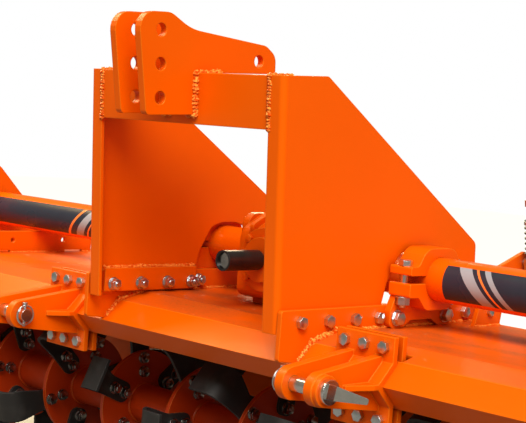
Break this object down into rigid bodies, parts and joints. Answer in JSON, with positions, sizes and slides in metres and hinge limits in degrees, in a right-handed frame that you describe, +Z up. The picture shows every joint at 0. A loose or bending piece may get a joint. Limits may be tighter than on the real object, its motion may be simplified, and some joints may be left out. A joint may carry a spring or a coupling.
{
  "type": "rotary tiller",
  "caption": "Tractor-mounted rotary tiller: hooded rotor with L blades under a folded deck, bolted mast with top link lugs, clamped beam tubes, side drive case and sprung trailing board.",
  "frame": {"origin": "on the ground under the middle of the machine's overall length and width", "axes": "+X along the rotor towards the side drive case, -Y towards the tractor, +Z up"},
  "size_m": [2.613, 1, 1.1197],
  "materials": {
    "orange_paint": "gloss",
    "zinc_steel": "satin",
    "black_paint": "satin",
    "black_plastic": "matte",
    "spring_steel": "satin"
  },
  "bodies": {
    "frame": {"deck_sheet": "orange_paint", "front_beam": "orange_paint", "end_plate_left": "orange_paint", "end_plate_right": "orange_paint", "hinge_rod": "zinc_steel", "skid_left": "orange_paint", "skid_right": "orange_paint", "mast_plate_left": "orange_paint", "mast_plate_right": "orange_paint", "mast_crossbar": "orange_paint", "top_link_lug_left": "orange_paint", "top_link_lug_right": "orange_paint", "mast_strips": "orange_paint", "deck_bracket_left": "orange_paint", "deck_bracket_right": "orange_paint", "hitch_bracket_left": "orange_paint", "hitch_bracket_right": "orange_paint", "hitch_clamps": "orange_paint", "hitch_pin_left": "zinc_steel", "hitch_pin_right": "zinc_steel", "gearbox": "orange_paint", "beam_tube_left": "orange_paint", "beam_tube_right": "orange_paint", "clamp_saddle_left": "orange_paint", "clamp_saddle_right": "orange_paint", "clamp_caps": "orange_paint", "gear_case": "orange_paint", "gear_case_cover": "orange_paint", "rotor_bearing": "orange_paint", "rod_brackets": "orange_paint"},
    "rotor": {"rotor": "black_paint"},
    "input": {"input_shaft": "zinc_steel", "shaft_sleeve": "black_plastic"},
    "board": {"trailing_board": "orange_paint"},
    "swivels": {"rod_swivels": "zinc_steel", "upper_springs": "spring_steel", "lower_springs": "spring_steel"},
    "rods": {"spring_rods": "zinc_steel"}
  },
  "joints": [
    {"name": "rotor_spin", "type": "hinge", "parent": "frame", "child": "rotor", "pos_m": [-0.0225, -0.0016, 0.24], "axis": [1, 0, 0], "continuous": true},
    {"name": "input_spin", "type": "hinge", "parent": "frame", "child": "input", "pos_m": [-0.0225, -0.1216, 0.6385], "axis": [0, -1, 0], "continuous": true},
    {"name": "board_lift", "type": "hinge", "parent": "frame", "child": "board", "pos_m": [-0.0225, 0.35911, 0.41864], "axis": [1, 0, 0], "range_deg": [0, 36]},
    {"name": "swivel_tilt", "type": "hinge", "parent": "frame", "child": "swivels", "pos_m": [-0.0225, 0.36511, 0.668], "axis": [1, 0, 0], "range_deg": [0, 13]},
    {"name": "rod_slide", "type": "slide", "parent": "swivels", "child": "rods", "axis": [0, -0.2028, 0.9792], "range_m": [0, 0.0497], "deforming": ["lower_springs"]}
  ],
  "couplings": [
    {"joint": "input_spin", "follows": "rotor_spin", "ratio": 2.5},
    {"joint": "swivel_tilt", "follows": "board_lift", "ratio": 0.36},
    {"joint": "rod_slide", "follows": "board_lift", "m_per_rad": 0.079}
  ]
}
